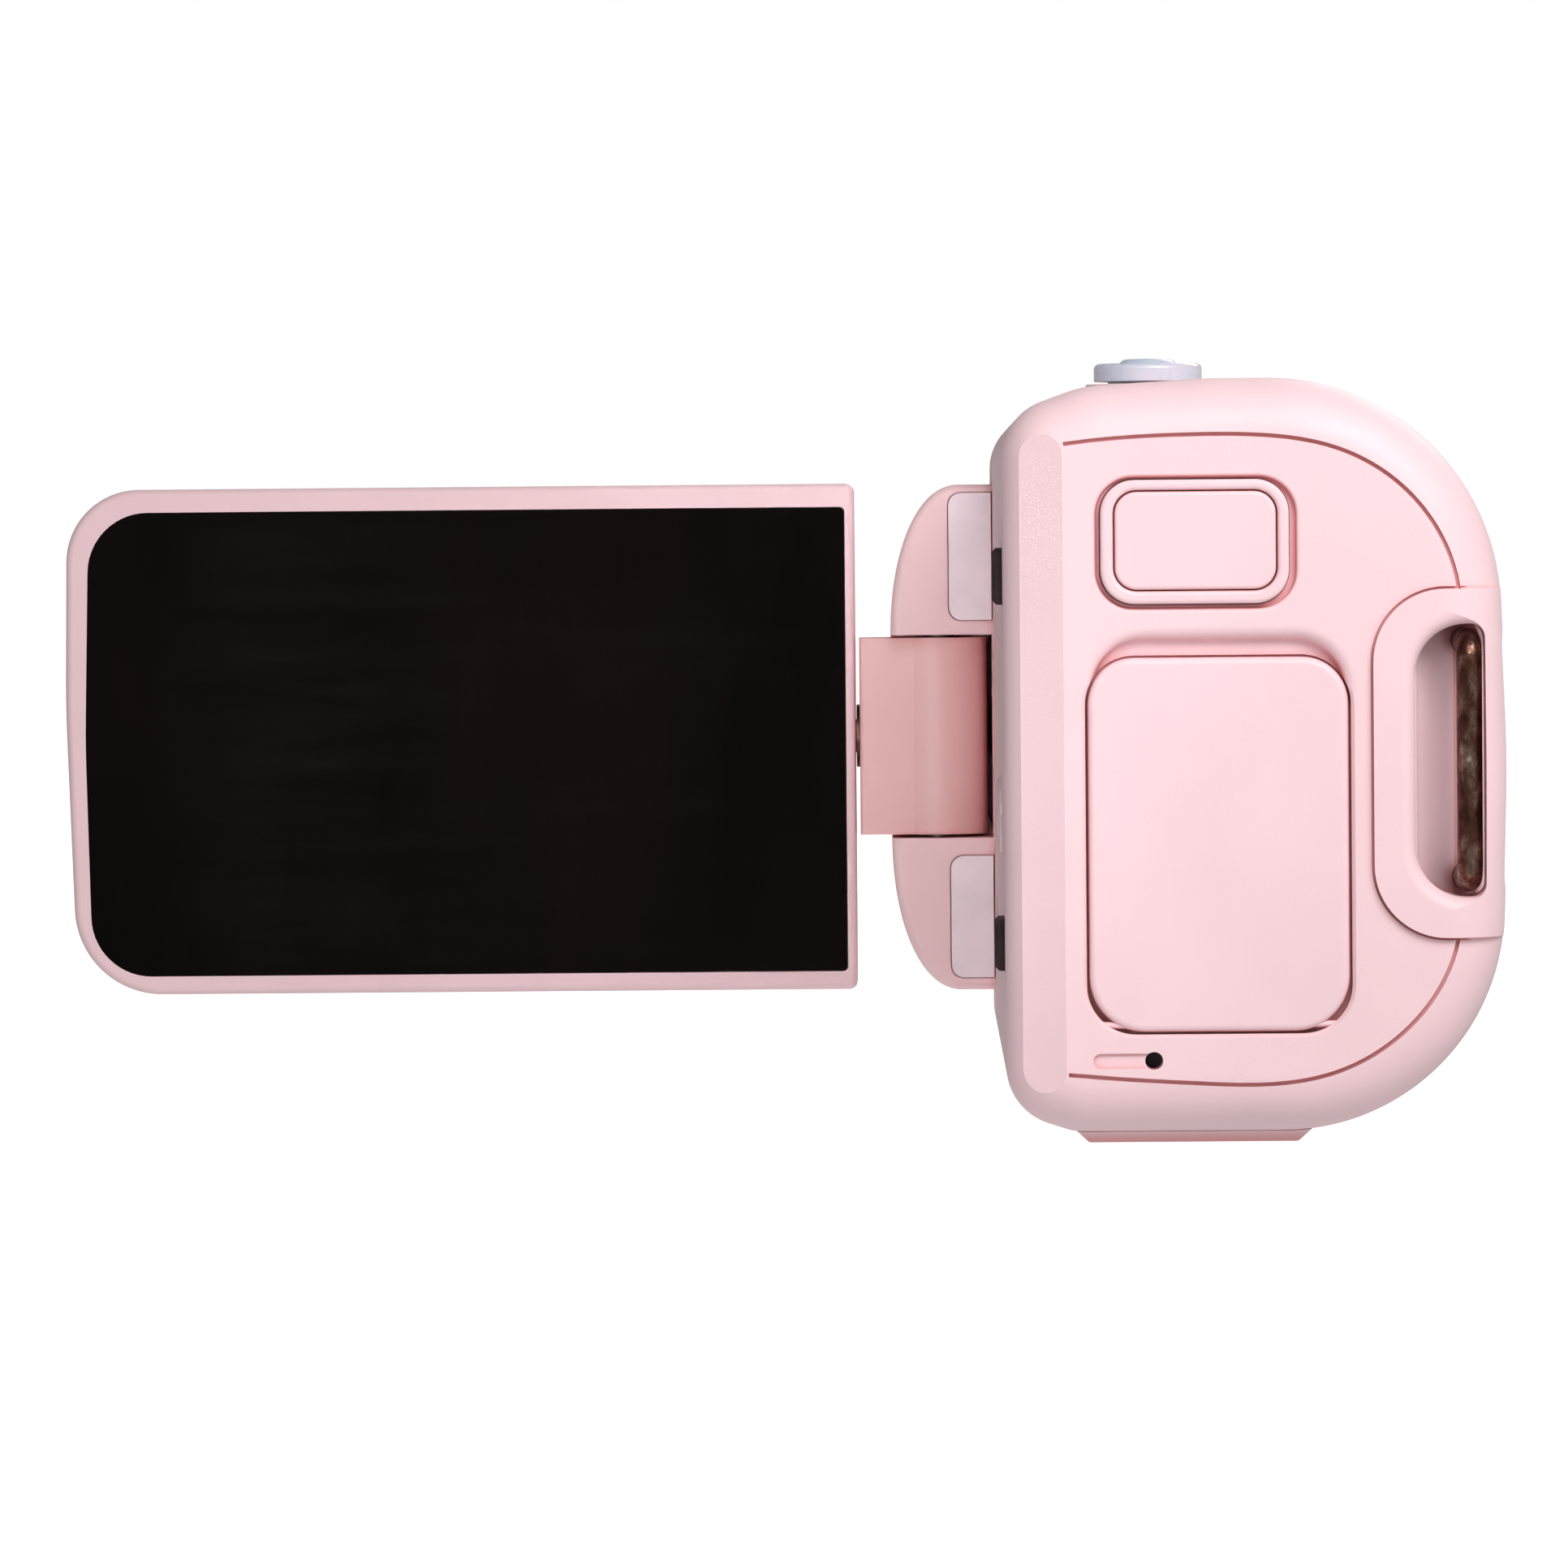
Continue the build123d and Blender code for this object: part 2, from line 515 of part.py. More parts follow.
# The bezel steps down towards the front lens
with BuildPart() as lens_bezel:
    steps = [(55.0 - 1.2 * k, 17.4 - 1.1 * (k + drop)) for k in range(4) for drop in (0, 1)]
    turned([(47.4, 13.0), (47.4, 19.7), (56.2, 19.7), (56.2, 18.6), *steps, (50.2, 13.0)])
    block((-2.6, 50.0, LENS_Z + 14.6), (2.6, 58.0, LENS_Z + 17.2), mode=Mode.SUBTRACT)

with BuildPart() as lens_tube:
    turned([
        (16.0, 6.6), (16.0, 12.8), (50.0, 12.8), (50.0, 11.5),
        (40.0, 11.5), (40.0, 9.1), (30.0, 9.1), (30.0, 6.6),
    ])

with BuildPart() as front_lens:
    rod(across(43.5), (0, LENS_Z), 11.4, -8.0)
    with Locations((0, 32.4, LENS_Z)):
        Sphere(19.0, mode=Mode.INTERSECT)

with BuildPart() as middle_lens:
    turned([(32.0, 0.0), (33.0, 9.0), (36.0, 9.0), (37.5, 0.0)])

with BuildPart() as rear_lens:
    turned([(21.0, 0.0), (22.0, 6.5), (25.0, 6.5), (26.0, 0.0)])

with BuildPart() as image_sensor:
    block((-4.0, 13.4, LENS_Z - 3.0), (4.0, 14.6, LENS_Z + 3.0))

with BuildPart() as sensor_board:
    block((-12.8, 12.2, LENS_Z - 12.5), (12.8, 13.4, LENS_Z + 12.5))

with BuildPart() as lamp_window:
    block((-2.5, 51.4, LENS_Z + 14.7), (2.5, 55.0, LENS_Z + 17.1))

# ---- Electronics ----

with BuildPart() as main_board:
    block((13.4, -38.0, 9.0), (14.8, 11.0, 56.0))

with BuildPart() as shield_can:
    block((14.8, -22.0, 20.0), (17.2, 2.0, 44.0))
    fillet(shield_can.edges().filter_by(Axis.X), radius=1.0)

with BuildPart() as control_board:
    block((-11.0, -32.0, 56.2), (6.0, -12.0, 57.4))
    rod(Plane.XY.offset(57.4), ZOOM_AT, 1.6, 0.6)

with BuildPart() as button_board:
    block((-12.4, -39.0, 21.0), (-11.2, -9.0, 33.0))

with BuildPart() as speaker:
    rod(Plane.YZ.offset(-14.6), SPEAKER_AT, 7.0, 3.4)
    rod(Plane.YZ.offset(-14.6), SPEAKER_AT, 5.4, 0.6, mode=Mode.SUBTRACT)

def port(mouth, tongue_low, tongue_high):
    """Port housing behind an opening in the left wall, with the tongue inside it."""
    low, high, radius = mouth
    with BuildPart() as housing:
        mouth_plane = Plane.YZ.offset(BODY_LEFT + 0.1)
        extrude(panel(mouth_plane, low, high, radius), amount=7.4)
        extrude(panel(mouth_plane, low, high, radius, -0.3), amount=6.4, mode=Mode.SUBTRACT)
        block((BODY_LEFT + 1.2, *tongue_low), (BODY_LEFT + 7.0, *tongue_high))
    return housing


usb_port = port(USB, (0.6, 17.7), (7.4, 18.3))
hdmi_port = port(HDMI, (1.8, 26.7), (6.2, 27.3))

with BuildPart() as card_slot:
    block((-14.4, -5.0, 43.4), (1.4, 9.0, 46.7))
    block((-15.0, -3.7, 44.0), (0.8, 7.7, 46.1), mode=Mode.SUBTRACT)

with BuildPart() as memory_card:
    block((-14.9, -3.5, 44.5), (0.2, 7.5, 45.5))

# ---- Keys and controls ----

with BuildPart() as zoom_lever:
    rod(Plane.XY.offset(65.4), ZOOM_AT, ZOOM_R, 1.6)
    fillet(zoom_lever.edges().filter_by(GeomType.CIRCLE).sort_by(Axis.Z)[-1], radius=0.5)
    rod(Plane.XY.offset(61.0), ZOOM_AT, 3.6, 4.6)
    rod(Plane.XY.offset(60.8), ZOOM_AT, 4.5, 0.9)
    rod(Plane.XY.offset(60.0), ZOOM_AT, 2.9, 8.0, mode=Mode.SUBTRACT)

with BuildPart() as shutter_button:
    rod(Plane.XY.offset(58.9), ZOOM_AT, 2.6, 8.5)
    fillet(shutter_button.edges().filter_by(GeomType.CIRCLE).sort_by(Axis.Z)[-1], radius=0.7)

def wall_key(key_y, key_z, radius):
    """Round key that stands a little out of the left wall."""
    outer_x = BODY_LEFT - KEY_PROUD
    with BuildPart() as key:
        rod(Plane.YZ.offset(outer_x), (key_y, key_z), radius, KEY_INNER_X - outer_x)
        fillet(key.edges().filter_by(GeomType.CIRCLE).sort_by(Axis.X)[0], radius=0.2)
    return key


power_button = wall_key(*POWER_KEY)
mode_button = wall_key(*MODE_KEY)
play_button = wall_key(*PLAY_KEY)

# ---- Screen hinge ----

# Whole hinge arm: a round barrel about the swing pin that runs into a flat arm
with BuildPart() as hinge_arm:
    rod(Plane.XY.offset(ARM_LOW_Z), (SWING_X, HINGE_Y), 4.7, ARM_HIGH_Z - ARM_LOW_Z)
    block((ARM_END, SCREEN_Y, ARM_LOW_Z), (SWING_X, SCREEN_BACK_Y, ARM_HIGH_Z))
    fillet(hinge_arm.edges().filter_by(Axis.Z).group_by(Axis.X)[0], radius=0.5)
    rod(Plane.XY.offset(20.0), (SWING_X, HINGE_Y), PIN_R + RUNNING, 30.0, mode=Mode.SUBTRACT)
    rod(Plane.YZ.offset(-24.8), (HINGE_Y, TILT_Z), PIN_R + 0.02, -6.0, mode=Mode.SUBTRACT)

with BuildPart() as hinge_cover_rear:
    add(hinge_arm.part)
    split(bisect_by=across(HINGE_Y - 0.04), keep=Keep.TOP)

with BuildPart() as hinge_cover_front:
    add(hinge_arm.part)
    split(bisect_by=across(HINGE_Y + 0.04), keep=Keep.BOTTOM)
    for screw_z in (27.0, 38.2):
        rod(across(SCREEN_BACK_Y), (-26.6, screw_z), 1.3, 0.7, mode=Mode.SUBTRACT)

with BuildPart() as hinge_screws:
    for screw_z in (27.0, 38.2):
        rod(across(SCREEN_BACK_Y - 0.05), (-26.6, screw_z), 1.2, 0.6)
        rod(across(SCREEN_BACK_Y), (-26.6, screw_z), 0.55, 0.4, mode=Mode.SUBTRACT)

with BuildPart() as swing_pin:
    rod(Plane.XY.offset(19.2), (SWING_X, HINGE_Y), PIN_R, 26.6)

with BuildPart() as tilt_shaft:
    rod(Plane.YZ.offset(-24.9), (HINGE_Y, TILT_Z), PIN_R, -13.6)
    rod(Plane.YZ.offset(-37.5), (HINGE_Y, TILT_Z), 2.6, -1.0)
    rod(Plane.YZ.offset(ARM_END - 0.02), (HINGE_Y, TILT_Z), 3.0, -0.3)

# ---- Screen ----

# Room inside the screen's rim for the tilt shaft and its collar
with BuildPart() as shaft_space:
    rod(Plane.YZ.offset(-29.0), (HINGE_Y, TILT_Z), PIN_R + RUNNING, -10.0)
    rod(Plane.YZ.offset(-37.2), (HINGE_Y, TILT_Z), 2.9, -1.8)

with BuildPart() as screen_bezel:
    extrude(outline(across(SCREEN_Y), SCREEN_CORNERS, SCREEN_RADII), amount=-4.05)
    fillet(rear_edges(screen_bezel), radius=0.7)
    extrude(outline(across(SCREEN_Y), GLASS_CORNERS, GLASS_RADII), amount=-1.3, mode=Mode.SUBTRACT)
    block((-101.2, SCREEN_Y, 12.0), (-40.2, HINGE_Y, 52.6), mode=Mode.SUBTRACT)
    add(shaft_space.part, mode=Mode.SUBTRACT)

with BuildPart() as screen_glass:
    extrude(outline(across(SCREEN_Y + 0.1), GLASS_CORNERS, GLASS_RADII, 0.08), amount=-1.15)

with BuildPart() as display_panel:
    block((-101.0, SCREEN_Y + 1.3, 12.2), (-40.4, SCREEN_Y + 3.6, 52.4))

with BuildPart() as screen_back:
    parting_y = HINGE_Y + 0.05
    extrude(outline(across(parting_y), SCREEN_CORNERS, SCREEN_RADII), amount=parting_y - SCREEN_BACK_Y)
    # Crown from top to bottom, then round the free end
    with BuildSketch(Plane.YZ.offset(-110.0)):
        with BuildLine():
            FilletPolyline(
                (26.0, SCREEN_LOW_Z), (29.3, SCREEN_LOW_Z), (SCREEN_BACK_Y, 17.5),
                (SCREEN_BACK_Y, 47.5), (29.3, SCREEN_HIGH_Z), (26.0, SCREEN_HIGH_Z),
                radius=(0, 1.2, 14.0, 14.0, 1.2, 0), close=True,
            )
        make_face()
    extrude(amount=90.0, mode=Mode.INTERSECT)
    with BuildSketch(Plane.XY):
        with BuildLine():
            FilletPolyline(
                (SCREEN_RIGHT, 26.0), (SCREEN_RIGHT, SCREEN_BACK_Y), (-101.0, SCREEN_BACK_Y),
                (SCREEN_LEFT, 29.4), (SCREEN_LEFT, 26.0),
                radius=(0, 0.6, 8.0, 1.2, 0), close=True,
            )
        make_face()
    extrude(amount=70.0, mode=Mode.INTERSECT)
    block((-100.0, 27.0, 17.0), (-41.0, 30.7, 48.0), mode=Mode.SUBTRACT)
    add(shaft_space.part, mode=Mode.SUBTRACT)
    for screw_at in SCREEN_SCREWS:
        rod(across(SCREEN_BACK_Y), screw_at, 1.4, 0.8, mode=Mode.SUBTRACT)

with BuildPart() as screen_screws:
    for screw_at in SCREEN_SCREWS:
        rod(across(SCREEN_BACK_Y - 0.15), screw_at, 1.3, 0.6)
        rod(across(SCREEN_BACK_Y), screw_at, 0.6, 0.5, mode=Mode.SUBTRACT)

with BuildPart() as display_board:
    block((-96.0, 28.3, 19.0), (-44.0, 29.5, 46.0))

PIECES = {
    "rear_cover": rear_cover,
    "rear_bumpers": rear_bumpers,
    "strap_bar": strap_bar,
    "battery_door": battery_door,
    "door_pin": door_pin,
    "battery_tray": battery_tray,
    "battery": battery,
    "battery_contacts": battery_contacts,
    "record_ring": record_ring,
    "record_key": record_key,
    "record_dome": record_dome,
    "rear_board": rear_board,
    "rear_microphone": rear_microphone,
    "left_shell": left_shell,
    "right_shell": right_shell,
    "front_strap_bar": front_strap_bar,
    "front_housing": front_housing,
    "ear_pads": ear_pads,
    "front_microphones": front_microphones,
    "base_plate": base_plate,
    "tripod_insert": tripod_insert,
    "lens_barrel": lens_barrel,
    "front_ring": front_ring,
    "lens_bezel": lens_bezel,
    "lens_tube": lens_tube,
    "front_lens": front_lens,
    "middle_lens": middle_lens,
    "rear_lens": rear_lens,
    "image_sensor": image_sensor,
    "sensor_board": sensor_board,
    "lamp_window": lamp_window,
    "main_board": main_board,
    "shield_can": shield_can,
    "control_board": control_board,
    "button_board": button_board,
    "speaker": speaker,
    "usb_port": usb_port,
    "hdmi_port": hdmi_port,
    "card_slot": card_slot,
    "memory_card": memory_card,
    "zoom_lever": zoom_lever,
    "shutter_button": shutter_button,
    "power_button": power_button,
    "mode_button": mode_button,
    "play_button": play_button,
    "hinge_cover_rear": hinge_cover_rear,
    "hinge_cover_front": hinge_cover_front,
    "hinge_screws": hinge_screws,
    "swing_pin": swing_pin,
    "tilt_shaft": tilt_shaft,
    "screen_bezel": screen_bezel,
    "screen_glass": screen_glass,
    "display_panel": display_panel,
    "screen_back": screen_back,
    "screen_screws": screen_screws,
    "display_board": display_board,
    "base_screws": base_screws,
}

os.makedirs("parts", exist_ok=True)
for label, piece in PIECES.items():
    raised = piece.part.moved(Location((0, 0, FOOT)))
    raised.label = label
    export_step(raised, f"parts/{label}.step")
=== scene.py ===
"""Palm camcorder seen from behind with its screen swung open: materials, floor, light and camera."""
import math

import bpy
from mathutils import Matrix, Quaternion, Vector

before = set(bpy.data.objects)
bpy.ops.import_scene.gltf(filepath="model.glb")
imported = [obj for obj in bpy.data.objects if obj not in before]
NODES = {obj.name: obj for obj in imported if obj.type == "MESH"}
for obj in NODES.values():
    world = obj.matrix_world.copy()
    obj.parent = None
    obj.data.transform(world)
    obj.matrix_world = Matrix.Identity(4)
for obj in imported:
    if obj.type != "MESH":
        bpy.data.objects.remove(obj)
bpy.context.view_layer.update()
SLOT_OF = {name: node.material_slots[0].material.name for name, node in NODES.items()}


# ---- Node helpers ----

class Surface:
    """A material under construction: its Principled shader and short ways to feed the sockets."""

    def __init__(self, name, **sockets):
        self.material = bpy.data.materials.new(name)
        self.material.use_nodes = True
        self.tree = self.material.node_tree
        self.shader = self.tree.nodes["Principled BSDF"]
        self.coords = self.tree.nodes.new("ShaderNodeTexCoord").outputs["Object"]
        for socket, value in sockets.items():
            self.set(socket.replace("_", " "), value)

    def set(self, socket, value):
        """Sets one of the shader's own sockets to a constant."""
        self.shader.inputs[socket].default_value = value

    def link(self, output, target):
        self.tree.links.new(output, target)

    def node(self, kind, **settings):
        made = self.tree.nodes.new(kind)
        for name, value in settings.items():
            setattr(made, name, value)
        return made

    def stretched(self, stretch):
        """Object coordinates scaled by a different amount along each axis."""
        mapping = self.node("ShaderNodeMapping")
        mapping.inputs["Scale"].default_value = stretch
        self.link(self.coords, mapping.inputs["Vector"])
        return mapping.outputs["Vector"]

    def noise(self, size, detail=2.0, roughness=0.5, stretch=None):
        """Noise whose features are about size metres across."""
        made = self.node("ShaderNodeTexNoise")
        made.inputs["Scale"].default_value = 1.0 / size
        made.inputs["Detail"].default_value = detail
        made.inputs["Roughness"].default_value = roughness
        self.link(self.stretched(stretch) if stretch else self.coords, made.inputs["Vector"])
        return made.outputs["Fac"]

    def cells(self, size):
        """Distance to the nearest of scattered points about size metres apart."""
        made = self.node("ShaderNodeTexVoronoi")
        made.inputs["Scale"].default_value = 1.0 / size
        self.link(self.coords, made.inputs["Vector"])
        return made.outputs["Distance"]

    def ramp(self, value, stops):
        """Colours at positions, as (position, colour) pairs."""
        made = self.node("ShaderNodeValToRGB")
        band = made.color_ramp
        while len(band.elements) < len(stops):
            band.elements.new(0.5)
        for element, (position, colour) in zip(band.elements, stops):
            element.position = position
            element.color = (*colour, 1.0)
        self.link(value, made.inputs["Fac"])
        return made.outputs["Color"]

    def spread(self, value, low, high, start=0.0, end=1.0):
        """Value between start and end mapped to low and high."""
        made = self.node("ShaderNodeMapRange")
        for socket, number in (("From Min", start), ("From Max", end), ("To Min", low), ("To Max", high)):
            made.inputs[socket].default_value = number
        self.link(value, made.inputs["Value"])
        return made.outputs["Result"]

    def mix(self, factor, first, second):
        """Blend of two colours, each an output or a constant, by a factor that is an output."""
        made = self.node("ShaderNodeMix", data_type="RGBA")
        for socket, source in (("Factor", factor), ("A", first), ("B", second)):
            target = [i for i in made.inputs if i.name == socket and i.enabled][0]
            if isinstance(source, bpy.types.NodeSocket):
                self.link(source, target)
            else:
                target.default_value = (*source, 1.0)
        return [o for o in made.outputs if o.enabled][0]

    def edge_mask(self, radius):
        """Near 1 along sharp edges and 0 on flat faces."""
        bevel = self.node("ShaderNodeBevel", samples=6)
        bevel.inputs["Radius"].default_value = radius
        flat = self.node("ShaderNodeNewGeometry")
        dot = self.node("ShaderNodeVectorMath", operation="DOT_PRODUCT")
        self.link(bevel.outputs["Normal"], dot.inputs[0])
        self.link(flat.outputs["Normal"], dot.inputs[1])
        return self.spread(dot.outputs["Value"], 1.0, 0.0, 0.75, 0.995)

    def crevice_mask(self, distance):
        """Near 1 in the open and 0 deep in grooves and joints."""
        made = self.node("ShaderNodeAmbientOcclusion", samples=8)
        made.inputs["Distance"].default_value = distance
        return made.outputs["AO"]

    def bump(self, height, strength, distance):
        """Adds a bump on top of those already there."""
        made = self.node("ShaderNodeBump")
        made.inputs["Strength"].default_value = strength
        made.inputs["Distance"].default_value = distance
        self.link(height, made.inputs["Height"])
        before = self.shader.inputs["Normal"].links
        if before:
            self.link(before[0].from_socket, made.inputs["Normal"])
        self.link(made.outputs["Normal"], self.shader.inputs["Normal"])

    def colour(self, output):
        self.link(output, self.shader.inputs["Base Color"])

    def rough(self, output):
        self.link(output, self.shader.inputs["Roughness"])


def scaled(colour, factor):
    return tuple(channel * factor for channel in colour)


# ---- Materials, with all lengths in metres ----

GRAIN_DEPTH = 0.00003
# Reach of the painted shade in grooves and joints.
GROOVE_SHADE_REACH = 0.0011
PALE_EDGE_RADIUS = 0.00025
PINK = (0.930, 0.655, 0.690)
DOOR_PINK = (0.925, 0.655, 0.695)
# Painted shade: the housing pink is the shell pink made warmer, and the arm pink is darker and warmer still,
# for the shade that the ears and hinge arm lie in.
HOUSING_PINK_IN_PAINTED_SHADE = (0.935, 0.640, 0.655)
ARM_PINK_IN_PAINTED_SHADE = (0.900, 0.540, 0.530)


def moulded_pink(name, colour, rough_low, rough_high, grain):
    """Painted moulded plastic: faint mottling, fine spark-eroded grain, paler colour along sharp edges, and
    painted shade, darker and rosier, in crevices.
    """
    made = Surface(name, Specular_IOR_Level=0.42)
    mottled = made.ramp(made.noise(0.009, 3.0), [(0.3, scaled(colour, 0.975)), (0.7, scaled(colour, 1.015))])
    # Painted shade: a darker, rosier copy of the colour fills grooves and joints, where shade falls.
    groove_shade_colour = (colour[0] * 0.80, colour[1] * 0.46, colour[2] * 0.44)
    groove_shade_amount = made.spread(made.crevice_mask(GROOVE_SHADE_REACH), 0.85, 0.0, 0.35, 0.85)
    with_painted_groove_shade = made.mix(groove_shade_amount, mottled, groove_shade_colour)
    # Paler colour along sharp edges.
    pale_edged = made.mix(made.spread(made.edge_mask(PALE_EDGE_RADIUS), 0.0, 0.45), with_painted_groove_shade, scaled(colour, 1.06))
    made.colour(pale_edged)
    made.rough(made.spread(made.noise(0.004, 4.0, 0.6), rough_low, rough_high, 0.3, 0.7))
    made.bump(made.noise(0.00022, 2.0, 0.6), grain, GRAIN_DEPTH)
    made.bump(made.noise(0.0065, 2.0), 0.06, 0.0004)
    return made.material


def satin(name, colour, rough_low, rough_high, grain_size=0.0002, grain=0.25, variation=0.06, **sockets):
    """Plain moulded or coated surface with mottling and grain."""
    made = Surface(name, **sockets)
    made.colour(made.ramp(made.noise(0.005, 3.0), [
        (0.3, scaled(colour, 1.0 - variation)), (0.7, scaled(colour, 1.0 + variation))]))
    made.rough(made.spread(made.noise(0.003, 4.0, 0.6), rough_low, rough_high, 0.3, 0.7))
    made.bump(made.noise(grain_size, 2.0, 0.6), grain, GRAIN_DEPTH)
    return made.material


def pearl():
    """Pearl lacquer: milky with a cool blue drift and a clear coat."""
    made = Surface("pearl", Coat_Weight=0.6, Coat_Roughness=0.12, Sheen_Weight=0.1)
    drift = made.ramp(made.noise(0.0035, 2.0), [
        (0.3, (0.54, 0.61, 0.75)), (0.55, (0.64, 0.66, 0.76)), (0.75, (0.70, 0.65, 0.74))])
    made.colour(drift)
    made.rough(made.spread(made.noise(0.0007, 3.0), 0.22, 0.38, 0.3, 0.7))
    made.bump(made.noise(0.00018, 2.0), 0.12, 0.00002)
    return made.material


def rubber():
    """Dark brown-black soft rubber with uneven dusty tone, paler along its edges."""
    made = Surface("bumper_rubber", Specular_IOR_Level=0.3)
    dust = made.ramp(made.noise(0.0012, 4.0, 0.65), [
        (0.35, (0.018, 0.008, 0.008)), (0.75, (0.045, 0.026, 0.024))])
    # Paler colour along the edges.
    made.colour(made.mix(made.spread(made.edge_mask(0.0003), 0.0, 0.5), dust, (0.10, 0.075, 0.07)))
    made.rough(made.spread(made.noise(0.001, 3.0), 0.55, 0.8, 0.3, 0.7))
    made.bump(made.noise(0.00016, 3.0, 0.7), 0.5, 0.00004)
    return made.material


def bar_with_painted_glints():
    """Dark bronze tarnish over steel with painted dark reflections in it, painted bright glints, and uneven
    reflections.
    """
    made = Surface("bar_metal", Metallic=1.0)
    tarnish = made.noise(0.0016, 5.0, 0.65, (1.0, 1.0, 0.55))
    # Painted reflection: the dark brown-black patches stand partly for tarnish and partly for a dark room
    # mirrored in the bar; the palest band is a painted glint.
    made.colour(made.ramp(tarnish, [
        (0.34, (0.045, 0.014, 0.009)), (0.48, (0.12, 0.055, 0.038)),
        (0.60, (0.26, 0.170, 0.13)), (0.74, (0.80, 0.66, 0.56))]))
    made.rough(made.spread(tarnish, 0.42, 0.14, 0.3, 0.7))
    made.bump(made.noise(0.0016, 3.0, 0.6), 0.45, 0.0003)
    made.bump(made.noise(0.0003, 3.0, 0.6), 0.3, 0.00005)
    return made.material


def brushed(name, colour, rough_low, rough_high, stretch=(1.0, 1.0, 14.0), strength=0.2):
    """Metal with fine drawn scratches and a little uneven tarnish."""
    made = Surface(name, Metallic=1.0)
    made.colour(made.ramp(made.noise(0.003, 4.0, 0.6), [
        (0.3, scaled(colour, 0.86)), (0.7, scaled(colour, 1.06))]))
    lines = made.noise(0.002, 4.0, 0.7, stretch)
    made.rough(made.spread(lines, rough_low, rough_high, 0.3, 0.7))
    made.bump(lines, strength, 0.00002)
    return made.material


def board():
    """Green solder mask with faint copper tracks and small bare pads."""
    made = Surface("board_green", Coat_Weight=0.4, Coat_Roughness=0.2)
    tracks = made.node("ShaderNodeTexBrick", offset=0.5, squash=0.6)
    tracks.inputs["Scale"].default_value = 420.0
    tracks.inputs["Mortar Size"].default_value = 0.03
    tracks.inputs["Color1"].default_value = (0.010, 0.075, 0.030, 1.0)
    tracks.inputs["Color2"].default_value = (0.014, 0.095, 0.038, 1.0)
    tracks.inputs["Mortar"].default_value = (0.035, 0.170, 0.060, 1.0)
    made.link(made.coords, tracks.inputs["Vector"])
    pads = made.spread(made.cells(0.0024), 1.0, 0.0, 0.12, 0.16)
    made.colour(made.mix(pads, tracks.outputs["Color"], (0.65, 0.48, 0.22)))
    made.rough(made.spread(made.noise(0.002), 0.3, 0.5))
    made.bump(pads, 0.4, 0.00005)
    return made.material


def screen_black():
    """Black cover glass with smudges and faint wipe marks in its gloss."""
    made = Surface("screen_black", Specular_IOR_Level=0.06, IOR=1.5)
    smudges = made.noise(0.018, 5.0, 0.6, (1.0, 1.0, 0.35))
    made.colour(made.ramp(smudges, [(0.35, (0.0022, 0.0016, 0.0012)), (0.7, (0.0065, 0.0032, 0.0030))]))
    wipes = made.noise(0.004, 6.0, 0.7, (0.12, 1.0, 1.0))
    made.rough(made.spread(wipes, 0.05, 0.16, 0.35, 0.75))
    made.bump(made.noise(0.03, 1.0), 0.02, 0.0002)
    return made.material


def coated_lens():
    """Clear glass with a faint green and magenta anti-reflection coating."""
    made = Surface("lens_glass", Transmission_Weight=0.92, IOR=1.52, Coat_Weight=0.5, Coat_Roughness=0.02)
    made.colour(made.ramp(made.noise(0.012, 1.0), [
        (0.3, (0.72, 0.90, 0.84)), (0.55, (0.80, 0.78, 0.95)), (0.75, (0.92, 0.74, 0.86))]))
    made.rough(made.spread(made.noise(0.004, 4.0), 0.01, 0.035, 0.3, 0.7))
    return made.material


def lamp_window():
    """Frosted lamp window with a warm phosphor under it."""
    made = Surface("lamp_window", Transmission_Weight=0.35, IOR=1.49, Coat_Weight=0.5)
    made.colour(made.ramp(made.cells(0.0014), [(0.2, (0.95, 0.82, 0.35)), (0.55, (0.93, 0.92, 0.86))]))
    made.rough(made.spread(made.noise(0.0006, 3.0), 0.2, 0.4))
    made.bump(made.cells(0.0007), 0.4, 0.0001)
    return made.material


MATERIALS = {
    "shell_pink": moulded_pink("shell_pink", PINK, 0.40, 0.50, 0.35),
    "door_pink": moulded_pink("door_pink", DOOR_PINK, 0.34, 0.44, 0.25),
    # housing_pink and arm_pink carry painted shade: they are warmer and darker copies of the shell pink.
    "housing_pink": moulded_pink("housing_pink", HOUSING_PINK_IN_PAINTED_SHADE, 0.40, 0.50, 0.35),
    "arm_pink": moulded_pink("arm_pink", ARM_PINK_IN_PAINTED_SHADE, 0.38, 0.48, 0.30),
    "pad_lilac": satin("pad_lilac", (0.95, 0.80, 0.85), 0.35, 0.5),
    "pearl": pearl(),
    "key_grey": satin("key_grey", (0.78, 0.60, 0.625), 0.3, 0.42, grain=0.2),
    "bumper_rubber": rubber(),
    "bar_metal": bar_with_painted_glints(),
    "dark_steel": brushed("dark_steel", (0.16, 0.10, 0.085), 0.30, 0.46),
    "steel": brushed("steel", (0.56, 0.55, 0.54), 0.24, 0.42),
    "ring_metal": brushed("ring_metal", (0.80, 0.66, 0.64), 0.16, 0.30, (1.0, 12.0, 1.0)),
    "brass": brushed("brass", (0.78, 0.57, 0.24), 0.22, 0.4),
    "black_plastic": satin("black_plastic", (0.014, 0.013, 0.014), 0.4, 0.6, 0.00025, 0.4, 0.25),
    "board_green": board(),
    "lens_glass": coated_lens(),
    "lamp_window": lamp_window(),
    "screen_black": screen_black(),
    "battery_wrap": satin("battery_wrap", (0.055, 0.060, 0.070), 0.25, 0.4, 0.0004, 0.2, 0.2),
}

for name, node in NODES.items():
    node.material_slots[0].material = MATERIALS[SLOT_OF[name]]


# ---- Floor, light and camera: places in metres, angles in degrees, power in watts, lens in millimetres ----

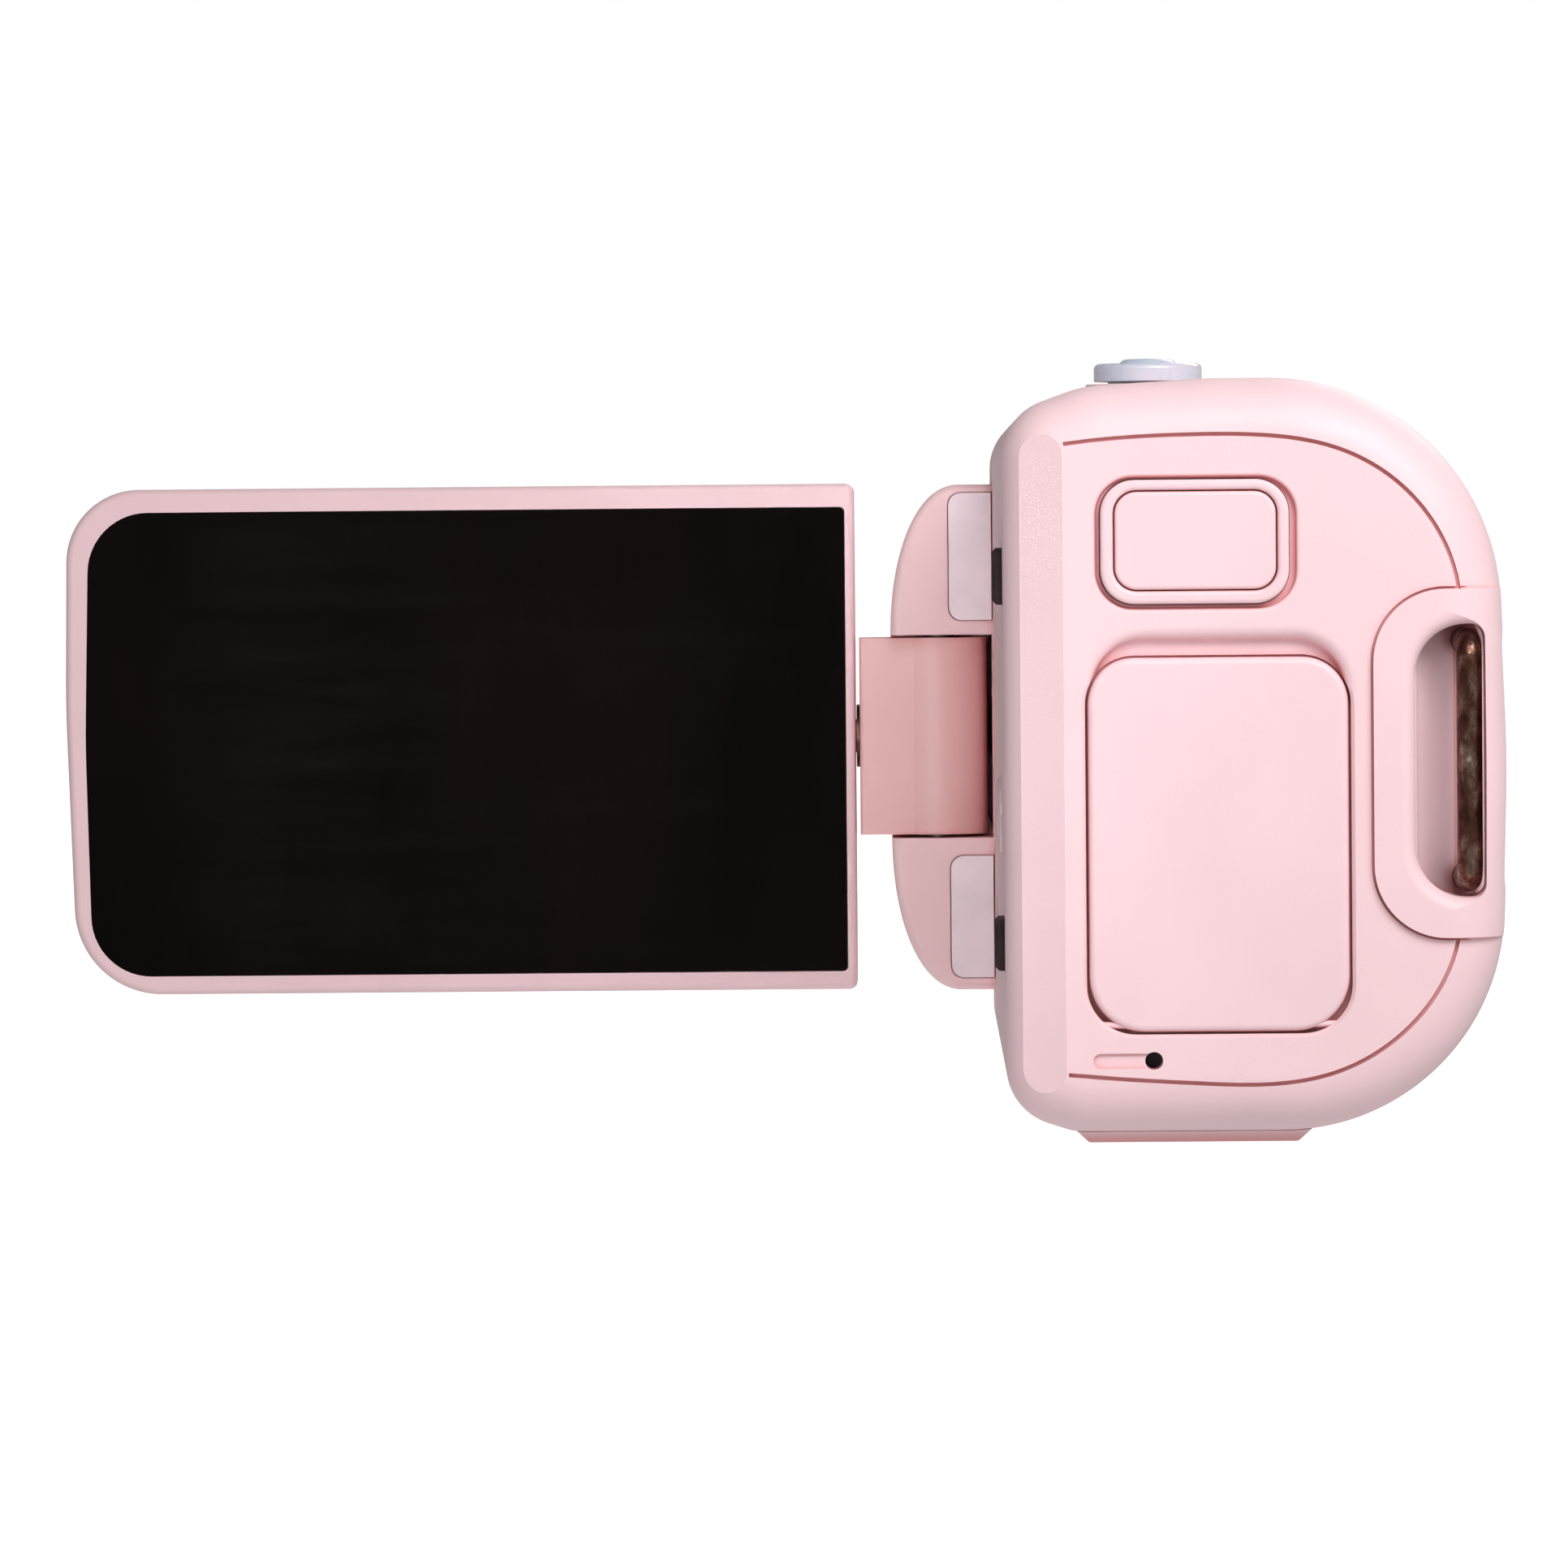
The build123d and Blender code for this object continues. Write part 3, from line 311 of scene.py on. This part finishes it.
CENTRE = (-0.030, -0.040, 0.035)
HINGE = (-0.022, 0.022, 0.031)
FLOOR_HALF = 6.0
LIGHT_FROM_BELOW = 0.76
LIGHT_FROM_ABOVE = 0.12
CAMERA_PLACE = (-0.02495, -0.760, 0.05185)
CAMERA_TARGET = (-0.03535, -0.060, 0.03125)
CAMERA_ROLL = -0.5
CAMERA_LENS = 188.2
FILL_SPREAD = 16.0


def pointed(thing, place, target, roll=0.0):
    """Puts a light or camera at place, looking at target."""
    thing.location = place
    thing.rotation_mode = "QUATERNION"
    aim = (Vector(target) - Vector(place)).to_track_quat("-Z", "Y")
    thing.rotation_quaternion = aim @ Quaternion((0.0, 0.0, 1.0), math.radians(roll))


def light(name, place, target, power, size):
    """Rectangular area light at place, facing target."""
    data = bpy.data.lights.new(name, "AREA")
    data.energy = power
    data.shape = "RECTANGLE"
    data.size, data.size_y = size
    made = bpy.data.objects.new(name, data)
    bpy.context.scene.collection.objects.link(made)
    pointed(made, place, target)
    return made


def floor():
    """Plain white floor that glows a little, so that it meets the white background without a line."""
    mesh = bpy.data.meshes.new("floor")
    corners = [(x * FLOOR_HALF, y * FLOOR_HALF, 0.0) for x, y in ((-1, -1), (1, -1), (1, 1), (-1, 1))]
    mesh.from_pydata(corners, [], [(0, 1, 2, 3)])
    made = bpy.data.objects.new("floor", mesh)
    bpy.context.scene.collection.objects.link(made)
    paper = satin("floor_paper", (0.90, 0.895, 0.89), 0.7, 0.85, 0.002, 0.05, 0.004, Emission_Strength=0.80)
    paper.node_tree.nodes["Principled BSDF"].inputs["Emission Color"].default_value = (1.0, 1.0, 1.0, 1.0)
    mesh.materials.append(paper)
    made.visible_diffuse = False
    made.visible_glossy = False


floor()
light("key", (0.09, -0.28, 0.225), CENTRE, power=0.90, size=(0.24, 0.16))
light("back", (0.5, 1.0, 0.8), CENTRE, power=4.4, size=(0.8, 0.6))
fill = light("hinge_fill", (-0.10, -0.30, 0.03), HINGE, power=0.0032, size=(0.06, 0.06))
fill.data.spread = math.radians(FILL_SPREAD)


def studio_world():
    """White for the camera; as light, a dim surround that is brighter from below, as over white paper."""
    world = bpy.data.worlds.new("studio")
    world.use_nodes = True
    tree = world.node_tree
    sky = tree.nodes["Background"]
    sky.inputs["Color"].default_value = (1.0, 1.0, 1.0, 1.0)
    coords = tree.nodes.new("ShaderNodeTexCoord")
    axes = tree.nodes.new("ShaderNodeSeparateXYZ")
    height = tree.nodes.new("ShaderNodeMapRange")
    span = (("From Min", -1.0), ("From Max", 1.0), ("To Min", LIGHT_FROM_BELOW), ("To Max", LIGHT_FROM_ABOVE))
    for socket, number in span:
        height.inputs[socket].default_value = number
    path = tree.nodes.new("ShaderNodeLightPath")
    seen = tree.nodes.new("ShaderNodeMath")
    seen.operation = "MAXIMUM"
    tree.links.new(coords.outputs["Generated"], axes.inputs["Vector"])
    tree.links.new(axes.outputs["Z"], height.inputs["Value"])
    tree.links.new(height.outputs["Result"], seen.inputs[0])
    tree.links.new(path.outputs["Is Camera Ray"], seen.inputs[1])
    tree.links.new(seen.outputs["Value"], sky.inputs["Strength"])
    bpy.context.scene.world = world


studio_world()
bpy.context.scene.view_settings.view_transform = "Standard"

camera = bpy.data.objects.new("camera", bpy.data.cameras.new("camera"))
bpy.context.scene.collection.objects.link(camera)
camera.data.sensor_width = 36.0
camera.data.lens = CAMERA_LENS
pointed(camera, CAMERA_PLACE, CAMERA_TARGET, CAMERA_ROLL)
bpy.context.scene.camera = camera
